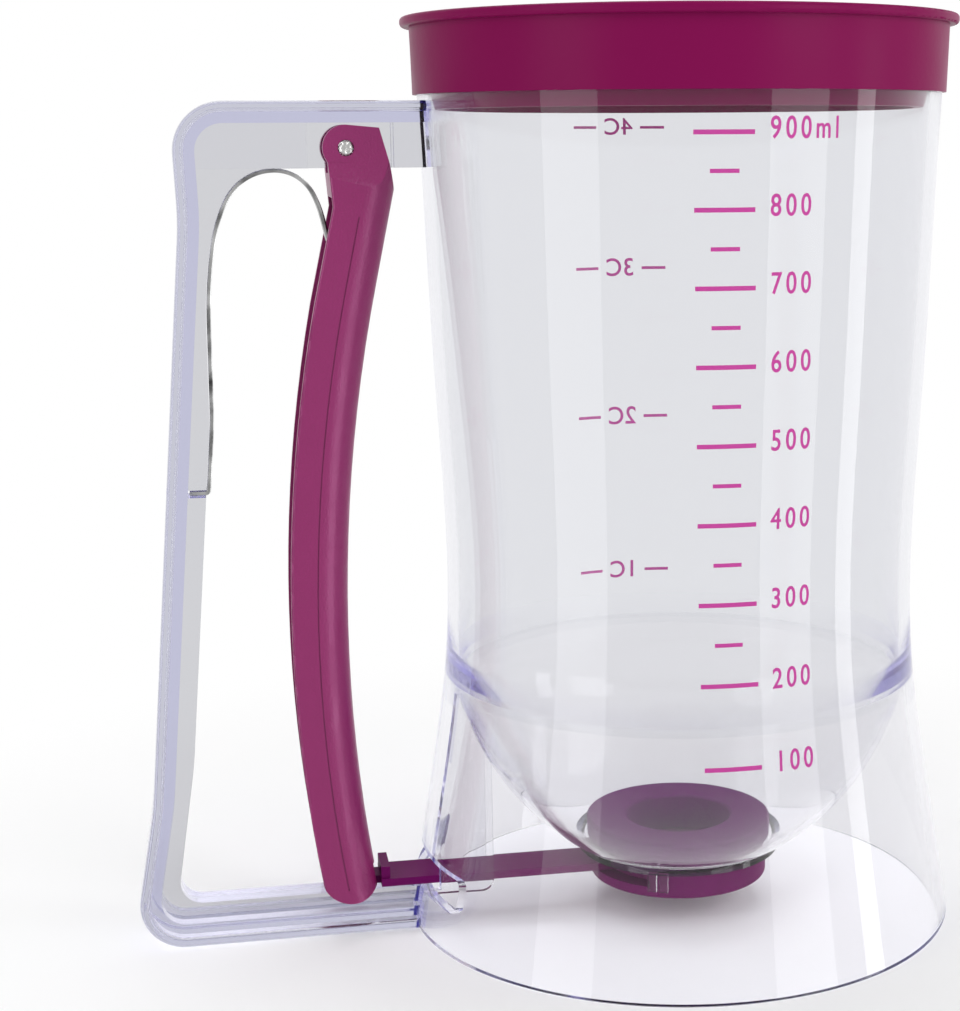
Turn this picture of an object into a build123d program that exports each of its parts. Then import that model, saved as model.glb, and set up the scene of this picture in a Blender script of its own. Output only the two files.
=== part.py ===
from build123d import *
import math
import os

# Hand-held batter dispenser: a clear jug on a flared skirt, with a purple lid, a squeeze
# trigger in the handle, and a slide gate under the funnel that the trigger pulls open.
# Origin: centre of the base rim, on the jug's axis. +Z is up, the handle points along -X.

# Jug wall: radii are of the outer face
base_radius = 57.0
flare_radius = 51.0
flare_height = 36.0
waist_radius = 48.6
waist_height = 54.0
belly_radius = 49.5
belly_height = 110.0
mouth_radius = 52.0
shoulder_height = 168.5
skirt_taper = 0.168
mouth_taper = 0.055
wall = 2.2
neck_step = 1.0
neck_rise = 8.0
rim_round = 0.4
foot_round = 0.6
round_share = 0.4

# Funnel: a bowl between the waist ring, which barrel and skirt clamp, and the throat's ledge
waist_ring = 4.0
bowl_sag = 4.4
funnel_wall = 1.2
throat_wall = 2.75
collar_wall = 1.45
ledge_thickness = 2.0
finger_width = 1.8
finger_thickness = 1.1
finger_length = 4.2
finger_angles = (61.0, 68.0)
finger_clearance = 0.15

# Valve under the funnel
drum_bottom = 6.4
drum_floor = 2.3
drum_wall = 2.7
drum_round = 0.8
outlet_radius = 10.5
outlet_chamfer = 0.8
seal_flange_radius = 19.6
seal_flange_height = 4.3
seal_neck_radius = 14.4
seal_neck_clearance = 0.1
seal_bore_radius = 11.0
seal_seat_clearance = 0.15
seal_round = 0.7

# Slide gate and its arm
gate_width = 31.0
gate_thickness = 1.6
gate_side_clearance = 0.4
gate_face_clearance = 0.3
gate_head_room = 1.8
arm_width = 10.0
arm_neck_width = 5.0
stop_tab_thickness = 1.8
stop_tab_width = 8.6
stop_tab_rise = 2.4
hook_thickness = 2.4
hook_width = 8.0
hook_rise = 1.6
tab_gap = 0.6
hook_gap = 1.5

# Window in the skirt for the arm, and the two ribs beside the arm
window_half_width = 22.5
window_drop = 0.6
window_head_room = 4.8
window_round = 2.0
window_overcut = 1.0
rib_clearance = 1.3
rib_thickness = 1.5
rib_reach = 40.5
rib_bottom = 7.6
rib_round = 2.5
rib_funnel_gap = 0.2

# Handle: a rounded rim of two tiers on a centre web. A reach is measured from the upper seat
# of the handle on the jug, and a drop is measured down from the top bar's upper face.
bar_drop = 1.2
bar_bottom = 0.5
top_pad_gap = 0.6
bottom_pad_gap = 0.6
limb_top_reach = 46.8
limb_hip_reach = 46.0
limb_hip_drop = 22.3
limb_low_reach = 55.8
limb_low_height = 30.0
limb_toe_reach = 61.0
top_corner = 9.5
limb_bend = 60.0
toe_corner = 9.0
rim_width = 16.0
rim_tier = 2.0
rim_edge_round = 0.8
inner_tier_width = 11.0
inner_tier = 4.1
web_thickness = 6.0
top_bar_depth = 12.7
bar_arm_gap = 1.1
limb_top_depth = 5.1
limb_depth = 7.65
grip_mid_height = 106.0
grip_low_height = 37.0
arch_radius = 12.3
grip_bend = 80.0
grip_toe_round = 4.5
hip_web_thickness = 9.0
pocket_back = 7.2
pocket_front = 9.3

# Trigger pivot and head
pivot_reach = 14.0
pivot_drop = 8.9
pin_diameter = 3.0
pin_clearance = 0.05
pin_proud = 0.25
pin_chamfer = 0.3
head_radius = 4.4
head_back_angle = 217.0
head_top_angle = 90.0
head_web_gap = 0.3
head_recess = 1.0
recess_front = 2.0
recess_drop = 2.8
head_slot_drop = 1.0

# Trigger outline: forward of the pivot, and down from the pivot or up from the gate
brow_top_forward = 6.4
brow_top_rise = 3.8
brow_forward = 8.4
brow_drop = 3.4
shoulder_forward = 9.3
shoulder_drop = 8.2
front_top_forward = 5.5
front_top_drop = 25.9
front_mid_forward = -2.0
front_mid_height = 66.0
front_low_forward = 2.4
front_low_rise = 0.6
toe_forward = -2.4
toe_drop = 2.3
back_low_forward = -8.8
back_low_rise = 1.6
back_mid_forward = -13.4
back_mid_height = 64.0
back_top_forward = -7.1
back_top_drop = 30.4
nape_forward = -2.8
nape_drop = 11.2
trigger_width = 14.5
trigger_wall = 1.9
front_round = 5.6
edge_round = 0.5
crease_drop = 13.0
crease_gap = 0.5
crease_width = 0.25
crease_depth = 0.2
channel_round = 2.6
channel_drop = 9.4
notch_clearance = 0.5
notch_rise = 3.0

# Leaf spring
spring_width = 5.0
spring_thickness = 0.8
spring_gap = 0.1
spring_tail = 14.0
spring_hook = 3.2
spring_hook_round = 0.7
spring_slot_clearance = 0.35
spring_turn_forward = -2.6
spring_flat = 0.5
spring_leg_forward = -1.0
spring_leg_drop = 39.4

# Lid
brim_overhang = 3.0
lid_flange = 1.9
lid_edge_round = 0.8
band_overhang = 0.8
band_flare = 0.4
band_height = 12.9
band_wall_clearance = 0.3
lid_top_thickness = 1.8
groove_gap = 0.9
plug_clearance = 0.6
plug_wall = 1.8
plug_depth = 2.7
plug_taper = 0.8
brim_width = 10.0
lid_dish_depth = 1.0

# Shared places worked out from the sizes above
FAR = 4 * base_radius
TOLERANCE = 0.01
flange_bottom = waist_height - waist_ring
neck_top = shoulder_height + neck_rise
channel_floor = drum_bottom + drum_floor
gate_bottom = channel_floor + gate_face_clearance
gate_top = gate_bottom + gate_thickness
collar_bottom = gate_top + gate_head_room
ledge_top = collar_bottom + ledge_thickness
channel_half = gate_width / 2 + gate_side_clearance
drum_radius = channel_half + drum_wall
seal_seat_radius = seal_flange_radius + seal_seat_clearance
bar_top = shoulder_height - bar_drop
grip_top = bar_top - top_bar_depth
grip_bottom = gate_bottom - bar_arm_gap
top_pad_x = -(mouth_radius + top_pad_gap)
bottom_pad_x = -(base_radius + bottom_pad_gap)
pivot_x = top_pad_x - pivot_reach
pivot_height = bar_top - pivot_drop
front_low_x = pivot_x + front_low_forward
spring_end_height = grip_mid_height - spring_tail
trigger_half = trigger_width / 2


def at(x, z):
    """A point in the plane of the handle."""
    return Vector(x, 0, z)


def same(first, second):
    """Whether two sizes are equal within the modelling tolerance."""
    return abs(first - second) < TOLERANCE


def limited(radius, thickness):
    """An edge's rounding, kept within its share of the wall that it rounds."""
    return min(radius, round_share * thickness)


def disc(radius, low, high):
    """A plain round disc on the jug's axis, between two heights."""
    return Pos(0, 0, low) * Cylinder(radius, high - low, align=(Align.CENTER, Align.CENTER, Align.MIN))


def slab(low, high):
    """Everything between two heights."""
    return disc(FAR, low, high)


def side_plate(face, thickness):
    """A plate of the given thickness, centred on the plane of the handle."""
    return extrude(face, amount=thickness / 2, dir=(0, 1, 0), both=True)


def face_of(*edges):
    return make_face(edges)


def jug_form(inset):
    """Solid of the jug's outer form from base to shoulder, made smaller by an inset."""
    base = at(base_radius - inset, 0)
    mouth = at(mouth_radius - inset, shoulder_height)
    outline = Spline(
        base,
        at(flare_radius - inset, flare_height),
        at(waist_radius - inset, waist_height),
        at(belly_radius - inset, belly_height),
        mouth,
        tangents=[(-skirt_taper, 0, 1), (mouth_taper, 0, 1)],
    )
    closing = Polyline(mouth, at(0, shoulder_height), at(0, 0), base)
    return revolve(face_of(outline, closing), axis=Axis.Z)


def bowl_arc():
    """Radius and centre of the bowl's arc, which sags below its chord from waist to throat."""
    top_radius = waist_radius - wall
    low_radius = seal_seat_radius + throat_wall
    rise = flange_bottom - ledge_top
    spread = top_radius - low_radius
    chord = math.hypot(spread, rise)
    radius = (chord**2 / 4 + bowl_sag**2) / (2 * bowl_sag)
    depth = radius - bowl_sag
    centre_x = (top_radius + low_radius) / 2 - depth * rise / chord
    centre_height = (flange_bottom + ledge_top) / 2 + depth * spread / chord
    return radius, centre_x, centre_height


def bowl_form(shrink, low, high):
    """Solid of the funnel's bowl between two heights, made smaller by a shrink."""
    radius, centre_x, centre_height = bowl_arc()
    round_face = Pos(centre_x, centre_height) * Circle(radius - shrink)
    band = Pos(0, low) * Rectangle(FAR, high - low, align=(Align.MIN, Align.MIN))
    return revolve(Plane.XZ * (round_face & band), axis=Axis.Z)


def block(x_low, x_high, width, low, high):
    """A block centred on the plane of the handle."""
    return Pos((x_low + x_high) / 2, 0, (low + high) / 2) * Box(x_high - x_low, width, high - low)


jug_outer = jug_form(0)
jug_inner = jug_form(wall)


def handle_outer_face():
    """The handle's outer outline, closed inside the jug."""
    outline = FilletPolyline(
        at(0, bar_top),
        at(top_pad_x - limb_top_reach, bar_top),
        at(top_pad_x - limb_hip_reach, bar_top - limb_hip_drop),
        at(top_pad_x - limb_low_reach, limb_low_height),
        at(top_pad_x - limb_toe_reach, bar_bottom),
        at(0, bar_bottom),
        radius=[top_corner, limb_bend, limb_bend, toe_corner],
    )
    return face_of(outline, Line(outline @ 1, outline @ 0))


def handle_tier(depth, width):
    """A band of the given depth along the inside of the handle's outer outline."""
    outer = handle_outer_face()
    return side_plate(outer - offset(outer, amount=-depth, kind=Kind.INTERSECTION), width)


def limb_outer(height):
    """X of the limb's outer edge at a height."""
    corners = (
        (bar_bottom, limb_toe_reach),
        (limb_low_height, limb_low_reach),
        (bar_top - limb_hip_drop, limb_hip_reach),
        (bar_top, limb_top_reach),
    )
    spans = zip(corners, corners[1:])
    (low, low_reach), (high, high_reach) = next(span for span in spans if height <= span[1][0])
    return top_pad_x - low_reach - (high_reach - low_reach) * (height - low) / (high - low)


def limb_inner(height):
    """Point on the limb's inner edge at a height."""
    return at(limb_outer(height) + limb_depth, height)


def arch_corner():
    """The corner that the arch at the top of the finger opening rounds off."""
    return at(limb_outer(grip_top) + limb_top_depth, grip_top)


def handle_opening_face():
    """The finger opening inside the handle's web."""
    outline = FilletPolyline(
        at(0, grip_top),
        arch_corner(),
        limb_inner(grip_mid_height),
        limb_inner(grip_low_height),
        limb_inner(grip_bottom),
        at(0, grip_bottom),
        radius=[arch_radius, grip_bend, grip_bend, grip_toe_round],
    )
    return face_of(outline, Line(outline @ 1, outline @ 0))


def handle_section():
    """The whole handle, running on into the jug at both ends."""
    outer = handle_outer_face()
    rim = handle_tier(rim_tier, rim_width)
    rim_edges = [e for e in rim.edges() if same(abs(e.center().Y), rim_width / 2)]
    long_edges = [e for e in rim_edges if e.center().X < -2 * rim_tier]
    rim = fillet(long_edges, limited(rim_edge_round, rim_tier))
    tier = handle_tier(inner_tier, inner_tier_width)
    web = side_plate(outer - handle_opening_face(), web_thickness)
    hip = side_plate(outer - handle_opening_face(), hip_web_thickness)
    hip &= slab(grip_top, bar_top)
    pocket = block(pivot_x - pocket_back, pivot_x + pocket_front, FAR, grip_top, bar_top - inner_tier)
    return rim + tier + web + (hip - pocket)


handle_all = handle_section()
top_half = slab(belly_height, FAR)
bottom_half = slab(-FAR, belly_height)
pad_side = (
    block(top_pad_x, FAR, FAR, belly_height, FAR)
    + block(bottom_pad_x, FAR, FAR, -FAR, belly_height)
)


def pad(half):
    """The end of the handle's section that belongs to the jug, out to its flat seat."""
    return ((handle_all & pad_side) & half) - jug_form(wall / 2)


def make_barrel():
    """The upper wall. At its foot the inside runs on from the funnel's bowl without a step."""
    bowl_top = bowl_arc()[2]
    hollow = jug_inner & (bowl_form(funnel_wall, waist_height, bowl_top) + slab(bowl_top, FAR))
    shell = (jug_outer - hollow) & slab(waist_height, shoulder_height)
    neck = disc(mouth_radius - neck_step, shoulder_height, neck_top)
    neck -= disc(mouth_radius - wall, shoulder_height, neck_top)
    neck = fillet(neck.edges().group_by(Axis.Z)[-1], limited(rim_round, wall - neck_step))
    return shell + neck + pad(top_half)


def make_skirt():
    shell = (jug_outer - jug_inner) & slab(0, flange_bottom)
    shell = fillet(shell.edges().group_by(Axis.Z)[0], limited(foot_round, wall))
    rib_plate = block(-base_radius, -rib_reach, FAR, rib_bottom, flange_bottom)
    low_corner = rib_plate.edges().filter_by(Axis.Y).group_by(Axis.Z)[0].sort_by(Axis.X)[-1]
    rib_plate = fillet(low_corner, rib_round)
    rib_plate &= jug_form(wall / 2)
    rib_plate -= bowl_form(-rib_funnel_gap, collar_bottom, flange_bottom)
    rib_centre = arm_width / 2 + rib_clearance + rib_thickness / 2
    for side in (-1, 1):
        shell += rib_plate & (Pos(0, side * rib_centre, 0) * Box(FAR, rib_thickness, FAR))
    window_bottom = gate_bottom - window_drop
    window_top = gate_top + window_head_room
    window = Pos(0, 0, (window_bottom + window_top) / 2) * Rot(0, 90, 0) * RectangleRounded(
        window_top - window_bottom, 2 * window_half_width, window_round
    )
    cut = extrude(window, amount=-FAR) - jug_form(wall + window_overcut)
    return shell - cut + pad(bottom_half)


def make_funnel():
    waist = jug_outer & slab(flange_bottom, waist_height)
    bowl = bowl_form(0, ledge_top, flange_bottom)
    collar = disc(seal_seat_radius + collar_wall, collar_bottom, ledge_top)
    solid = waist + bowl + collar
    solid -= bowl_form(funnel_wall, ledge_top, waist_height)
    solid -= disc(seal_seat_radius, ledge_top, waist_height)
    solid -= disc(seal_neck_radius + seal_neck_clearance, collar_bottom, ledge_top)
    finger_radius = drum_radius + finger_clearance
    for angle in finger_angles:
        for side in (-1, 1):
            finger = Pos(finger_radius + finger_thickness / 2, 0, collar_bottom - finger_length / 2) * Box(
                finger_thickness, finger_width, finger_length
            )
            solid += Rot(0, 0, 180 + side * angle) * finger
    return solid


def make_handle():
    solid = handle_all - pad_side
    solid -= pin_cylinder(pin_diameter / 2, FAR)
    slot_x = limb_inner(spring_end_height).X
    solid -= block(
        slot_x - spring_hook - spring_slot_clearance,
        slot_x + spring_hook,
        FAR,
        spring_end_height - spring_thickness / 2 - spring_slot_clearance,
        spring_end_height + spring_thickness / 2 + spring_slot_clearance,
    )
    return solid


def from_pivot(forward, drop):
    """A point forward of the trigger's pivot and below it."""
    return at(pivot_x + forward, pivot_height - drop)


def head_point(angle):
    """A point on the trigger's round head, at an angle in degrees from the front."""
    turn = math.radians(angle)
    return from_pivot(head_radius * math.cos(turn), -head_radius * math.sin(turn))


def trigger_front(inset):
    """Front outline of the trigger from shoulder to toe, moved back by an inset."""
    shoulder = from_pivot(shoulder_forward - inset, shoulder_drop)
    top = from_pivot(front_top_forward - inset, front_top_drop)
    middle = at(pivot_x + front_mid_forward - inset, front_mid_height)
    low = at(front_low_x - inset, gate_bottom + front_low_rise)
    return Line(shoulder, top), ThreePointArc(top, middle, low)


def trigger_back():
    """Back outline of the trigger, from its toe to the top of its round head."""
    back_low = at(pivot_x + back_low_forward, gate_bottom + back_low_rise)
    back_top = from_pivot(back_top_forward, back_top_drop)
    back = ThreePointArc(back_low, at(pivot_x + back_mid_forward, back_mid_height), back_top)
    nape = Line(back_top, from_pivot(nape_forward, nape_drop))
    neck = Line(nape @ 1, head_point(head_back_angle))
    lobe = ThreePointArc(
        neck @ 1, head_point((head_back_angle + head_top_angle) / 2), head_point(head_top_angle)
    )
    return back, nape, neck, lobe


def trigger_face():
    """Side outline of the trigger."""
    upper, grip = trigger_front(0)
    back, nape, neck, lobe = trigger_back()
    toe = ThreePointArc(grip @ 1, at(pivot_x + toe_forward, gate_bottom - toe_drop), back @ 0)
    brow = Polyline(
        lobe @ 1, from_pivot(brow_top_forward, -brow_top_rise), from_pivot(brow_forward, brow_drop), upper @ 0
    )
    return face_of(upper, grip, toe, back, nape, neck, lobe, brow)


def trigger_channel():
    """The hollow behind the trigger's front wall, open at the back and at the toe."""
    upper, grip = trigger_front(trigger_wall)
    top = upper @ 0
    low = grip @ 1
    rest = Polyline(low, at(low.X, -FAR), at(-FAR, -FAR), at(-FAR, top.Z), top)
    hollow = side_plate(face_of(upper, grip, rest), trigger_width - 2 * trigger_wall)
    front_edges = [e for e in hollow.edges() if on_grip_front(e, trigger_half - trigger_wall)]
    return fillet(front_edges, channel_round) & slab(-FAR, pivot_height - channel_drop)


def on_grip_front(edge, half_width):
    """Whether an edge runs along the front of the grip, on either side."""
    centre = edge.center()
    beside = same(abs(centre.Y), half_width)
    tall = edge.bounding_box().size.Z > front_mid_height
    return beside and tall and centre.X > pivot_x + (front_mid_forward + back_mid_forward) / 2


def on_trigger_back(edge):
    """Whether an edge of the trigger runs along its back outline, on either side."""
    centre = edge.center()
    spots = [line.center() for line in trigger_back()]
    beside = same(abs(centre.Y), trigger_half)
    return beside and any(same(centre.X, spot.X) and same(centre.Z, spot.Z) for spot in spots)


def trigger_crease():
    """A fine line along both sides of the grip, just behind the rounding of its front."""
    upper, grip = trigger_front(front_round + crease_gap)
    upper_back, grip_back = trigger_front(front_round + crease_gap + crease_width)
    ends = Line(grip @ 1, grip_back @ 1), Line(upper_back @ 0, upper @ 0)
    strip = face_of(upper, grip, grip_back, upper_back, *ends)
    line = side_plate(strip, trigger_width) - side_plate(strip, trigger_width - 2 * crease_depth)
    return line & slab(-FAR, pivot_height - crease_drop)


def make_trigger():
    body = side_plate(trigger_face(), trigger_width)
    front_edges = [e for e in body.edges() if on_grip_front(e, trigger_half)]
    body = fillet(front_edges, front_round)
    body = fillet([e for e in body.edges() if on_trigger_back(e)], limited(edge_round, trigger_wall))
    body -= trigger_crease()
    body -= trigger_channel()
    head_slot = block(-FAR, FAR, web_thickness + 2 * head_web_gap, grip_top - head_slot_drop, FAR)
    notch_width = web_thickness + 2 * notch_clearance
    notch = block(pivot_x + toe_forward, FAR, notch_width, -FAR, gate_top + notch_rise)
    body -= head_slot + notch
    recess = block(-FAR, pivot_x + recess_front, FAR, pivot_height - recess_drop, FAR)
    recess -= block(-FAR, FAR, trigger_width - 2 * head_recess, -FAR, FAR)
    body -= recess
    return body - pin_cylinder(pin_diameter / 2 + pin_clearance, FAR)


def pin_cylinder(radius, length):
    """A cylinder across the handle, on the trigger's pivot."""
    return Pos(pivot_x, 0, pivot_height) * Rot(90, 0, 0) * Cylinder(radius, length)


def make_pin():
    pin = pin_cylinder(pin_diameter / 2, trigger_width - 2 * head_recess + 2 * pin_proud)
    return chamfer(pin.edges().filter_by(GeomType.CIRCLE), pin_chamfer)


def make_spring():
    """A flat strip hooked into the limb, round the arch and down inside the trigger."""
    stand_off = spring_gap + spring_thickness / 2
    hook_x = limb_inner(spring_end_height).X
    arch_bend = arch_radius - stand_off
    arch = arch_corner() + at(stand_off, -stand_off)
    turn = at(pivot_x + spring_turn_forward, arch.Z)
    leg_end = from_pivot(spring_leg_forward, spring_leg_drop)
    turn_angle = math.radians((turn - arch).get_angle(leg_end - turn))
    turn_bend = (turn.X - arch.X - arch_bend - spring_flat) / math.tan(turn_angle / 2)
    path = FilletPolyline(
        at(hook_x - spring_hook, spring_end_height),
        at(hook_x + stand_off, spring_end_height),
        limb_inner(grip_mid_height) + at(stand_off, 0),
        arch,
        turn,
        leg_end,
        radius=[spring_hook_round, grip_bend + stand_off, arch_bend, turn_bend],
    )
    start = Plane(origin=path @ 0, x_dir=(0, 1, 0), z_dir=path % 0)
    return sweep(start * Rectangle(spring_width, spring_thickness), path)


def make_gate():
    plate = disc(gate_width / 2, gate_bottom, gate_top)
    tab_face = front_low_x + tab_gap
    hook_face = front_low_x - trigger_wall - hook_gap
    arm = block(tab_face, 0, arm_width, gate_bottom, gate_top)
    neck = block(hook_face, tab_face, arm_neck_width, gate_bottom, gate_top)
    tab = block(tab_face, tab_face + stop_tab_thickness, stop_tab_width, gate_bottom, gate_top + stop_tab_rise)
    hook = block(hook_face - hook_thickness, hook_face, hook_width, gate_bottom, gate_top + hook_rise)
    return plate + arm + neck + tab + hook


def make_valve_housing():
    drum = disc(drum_radius, drum_bottom, collar_bottom)
    drum = fillet(drum.edges().group_by(Axis.Z)[0], drum_round)
    drum -= disc(channel_half, channel_floor, collar_bottom)
    drum -= block(-FAR, 0, 2 * channel_half, channel_floor, collar_bottom)
    drum -= disc(outlet_radius, drum_bottom, channel_floor)
    rim = [e for e in drum.edges().filter_by(GeomType.CIRCLE) if same(e.radius, outlet_radius)]
    return chamfer(ShapeList(rim).group_by(Axis.Z)[0], outlet_chamfer)


def make_seal():
    body = disc(seal_flange_radius, ledge_top, ledge_top + seal_flange_height)
    body += disc(seal_neck_radius, gate_top + gate_face_clearance, ledge_top)
    body -= disc(seal_bore_radius, 0, waist_height)
    return fillet(body.edges().group_by(Axis.Z)[-1], seal_round)


def make_lid():
    band_top = shoulder_height + band_height
    top = band_top + lid_flange
    dish = top - lid_dish_depth
    under = dish - lid_top_thickness
    lid_radius = mouth_radius + brim_overhang
    dish_radius = lid_radius - brim_width
    band_radius = mouth_radius + band_overhang
    neck_side = mouth_radius - neck_step + band_wall_clearance
    plug_side = mouth_radius - wall - plug_clearance
    plug_low = shoulder_height - plug_depth
    groove_top = neck_top + groove_gap
    outline = Polyline(
        at(0, dish),
        at(dish_radius, dish),
        at(dish_radius + lid_dish_depth, top),
        at(lid_radius, top),
        at(lid_radius, band_top),
        at(band_radius + band_flare, band_top),
        at(band_radius, shoulder_height),
        at(neck_side, shoulder_height),
        at(neck_side, groove_top),
        at(plug_side, groove_top),
        at(plug_side, shoulder_height),
        at(plug_side - plug_taper, plug_low),
        at(plug_side - plug_taper - plug_wall, plug_low),
        at(plug_side - plug_wall, under),
        at(0, under),
        close=True,
    )
    body = revolve(face_of(outline), axis=Axis.Z)
    brim = [e for e in body.edges().filter_by(GeomType.CIRCLE) if same(e.radius, lid_radius)]
    return fillet(brim, limited(lid_edge_round, lid_flange))


def main():
    os.makedirs("parts", exist_ok=True)
    nodes = {
        "jug_barrel": make_barrel(),
        "jug_skirt": make_skirt(),
        "jug_funnel": make_funnel(),
        "jug_handle": make_handle(),
        "lid": make_lid(),
        "trigger": make_trigger(),
        "pivot_pin": make_pin(),
        "leaf_spring": make_spring(),
        "gate_slide": make_gate(),
        "valve_housing": make_valve_housing(),
        "outlet_seal": make_seal(),
    }
    for name, solid in nodes.items():
        export_step(solid, f"parts/{name}.step")


main()
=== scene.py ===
# %% [markdown]
# # A batter dispenser
#
# The real thing is a clear plastic jug with a purple lid. A squeeze trigger in the handle pulls a
# slide gate open under the funnel, and a steel leaf spring pushes the trigger back. The solids of
# every piece are already made, at their real size, so this lesson is about looks: clear plastic
# that bends light as one moulding, satin and gloss purple, bright steel, and printed scales.

# %% Load the solids
import math

import bmesh
import bpy
from mathutils import Matrix, Vector
from mathutils.bvhtree import BVHTree


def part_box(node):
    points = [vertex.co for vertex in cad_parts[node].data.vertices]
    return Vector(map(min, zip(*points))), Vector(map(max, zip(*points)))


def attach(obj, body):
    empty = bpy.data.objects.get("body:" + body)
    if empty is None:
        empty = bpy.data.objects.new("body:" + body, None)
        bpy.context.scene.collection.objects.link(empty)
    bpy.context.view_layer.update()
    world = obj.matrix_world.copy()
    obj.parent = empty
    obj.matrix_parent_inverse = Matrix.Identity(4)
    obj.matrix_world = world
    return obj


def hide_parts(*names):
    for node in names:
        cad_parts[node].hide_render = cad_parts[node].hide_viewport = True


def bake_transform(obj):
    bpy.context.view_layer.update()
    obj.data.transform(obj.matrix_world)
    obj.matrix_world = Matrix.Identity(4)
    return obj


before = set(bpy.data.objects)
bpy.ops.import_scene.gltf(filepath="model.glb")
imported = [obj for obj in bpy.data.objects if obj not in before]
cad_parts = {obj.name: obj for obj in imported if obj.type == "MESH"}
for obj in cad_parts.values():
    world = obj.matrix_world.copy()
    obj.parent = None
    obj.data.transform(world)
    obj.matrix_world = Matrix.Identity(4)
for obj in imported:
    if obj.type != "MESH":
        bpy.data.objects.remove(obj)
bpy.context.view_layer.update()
MM = 0.001

# %% [markdown]
# ## The camera
#
# The photograph looks slightly down at the jug from about 40 cm, with the handle turned a little
# towards the lens. The jug stands to the right of the frame, and its upright walls still look
# upright, as in a picture that was cut from a wider one. A small sideways shift of the lens gives
# the same effect, where turning the camera would make the walls lean.

# %% Place the camera
IMAGE_WIDTH = 960
IMAGE_HEIGHT = 1011
LENS_CENTRE_X = 620
SENSOR_WIDTH = 36.0
FOCAL_PIXELS = 2003.8
camera_distance = 407.9 * MM
camera_height = 161.7 * MM
handle_turn = math.radians(13.4)
camera_pan = math.radians(-1.69)
camera_pitch = math.radians(10.64)
camera_roll = math.radians(0.285)


def place_camera():
    """A camera that looks at the jug's axis from the photograph's side."""
    lens = bpy.data.cameras.new("photo_camera")
    lens.sensor_width = SENSOR_WIDTH
    lens.lens = FOCAL_PIXELS / IMAGE_HEIGHT * SENSOR_WIDTH
    lens.shift_x = -(LENS_CENTRE_X - IMAGE_WIDTH / 2) / IMAGE_HEIGHT
    turn = Matrix.Rotation(-(handle_turn + camera_pan), 3, "Z")
    tilt = Matrix.Rotation(math.pi / 2 - camera_pitch, 3, "X")
    roll = Matrix.Rotation(-camera_roll, 3, "Z")
    place = Vector((-math.sin(handle_turn), -math.cos(handle_turn), 0)) * camera_distance
    place.z = camera_height
    camera = bpy.data.objects.new("photo_camera", lens)
    camera.matrix_world = Matrix.LocRotScale(place, turn @ tilt @ roll, None)
    bpy.context.scene.collection.objects.link(camera)
    bpy.context.scene.camera = camera
    return camera


camera = place_camera()
print("lens in mm:", round(camera.data.lens, 1), "shift:", round(camera.data.shift_x, 3))

# %% [markdown]
# ## Shared surface effects
#
# Moulded plastic is never perfectly even. Its tool leaves a fine grain, and handling leaves dull
# and shiny patches. Both effects are shader node groups, so that each plastic can place them with
# its own values. The group of marks also paints light and dark streaks of reflection into the
# colour of the spring's steel. The groups read Object coordinates, which are metres here, so a
# scale of 1000 makes features about a millimetre across.

# %% Build the group of marks and painted streaks
NOISE_LOW = 0.3
NOISE_HIGH = 0.7


def new_group(name, inputs, outputs):
    """An empty shader node group with the given float inputs and outputs."""
    group = bpy.data.node_groups.new(name, "ShaderNodeTree")
    for label, start in inputs:
        socket = group.interface.new_socket(label, in_out="INPUT", socket_type="NodeSocketFloat")
        socket.default_value = start
    for label in outputs:
        group.interface.new_socket(label, in_out="OUTPUT", socket_type="NodeSocketFloat")
    return group, group.nodes.new("NodeGroupInput"), group.nodes.new("NodeGroupOutput")


def noise_field(tree, scale, detail):
    """A noise texture on Object coordinates, whose scale comes from a socket."""
    place = tree.nodes.new("ShaderNodeTexCoord")
    noise = tree.nodes.new("ShaderNodeTexNoise")
    noise.inputs["Detail"].default_value = detail
    tree.links.new(place.outputs["Object"], noise.inputs["Vector"])
    tree.links.new(scale, noise.inputs["Scale"])
    return noise.outputs["Fac"]


def make_spread_group():
    """A value that wanders by a spread either side of its middle, at a given scale."""
    inputs = (("Scale", 40.0), ("Middle", 0.4), ("Spread", 0.1))
    group, entry, leave = new_group("marks_and_painted_streaks", inputs, ("Value",))
    field = noise_field(group, entry.outputs["Scale"], 4.0)
    spread = group.nodes.new("ShaderNodeMapRange")
    low = group.nodes.new("ShaderNodeMath")
    low.operation = "SUBTRACT"
    high = group.nodes.new("ShaderNodeMath")
    for node in (low, high):
        group.links.new(entry.outputs["Middle"], node.inputs[0])
        group.links.new(entry.outputs["Spread"], node.inputs[1])
    spread.inputs["From Min"].default_value = NOISE_LOW
    spread.inputs["From Max"].default_value = NOISE_HIGH
    group.links.new(field, spread.inputs["Value"])
    group.links.new(low.outputs[0], spread.inputs["To Min"])
    group.links.new(high.outputs[0], spread.inputs["To Max"])
    group.links.new(spread.outputs["Result"], leave.inputs["Value"])
    return group


marks_and_painted_streaks = make_spread_group()
print("group:", marks_and_painted_streaks.name, "with", len(marks_and_painted_streaks.nodes), "nodes")

# %% Build the group of mould grain
def make_grain_group():
    """The fine grain of a spark-finished mould, as a height."""
    group, entry, leave = new_group("mould_grain", (("Scale", 2500.0),), ("Height",))
    field = noise_field(group, entry.outputs["Scale"], 2.0)
    group.links.new(field, leave.inputs["Height"])
    return group


mould_grain = make_grain_group()
print("group:", mould_grain.name, "with", len(mould_grain.nodes), "nodes")

# %% [markdown]
# ## Finishes of the coloured and metal pieces
#
# All of the purple pieces share a hue, but not a finish. The lid is smooth and a little glossy,
# the trigger has a fine satin grain for grip, the valve is smooth, and the seal is soft and matt.
# Each is one Principled BSDF. What is the same all over is set on the shader itself, and what
# varies comes from the groups. The trigger's sheen is tinted, so that it doesn't turn grey.

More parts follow.
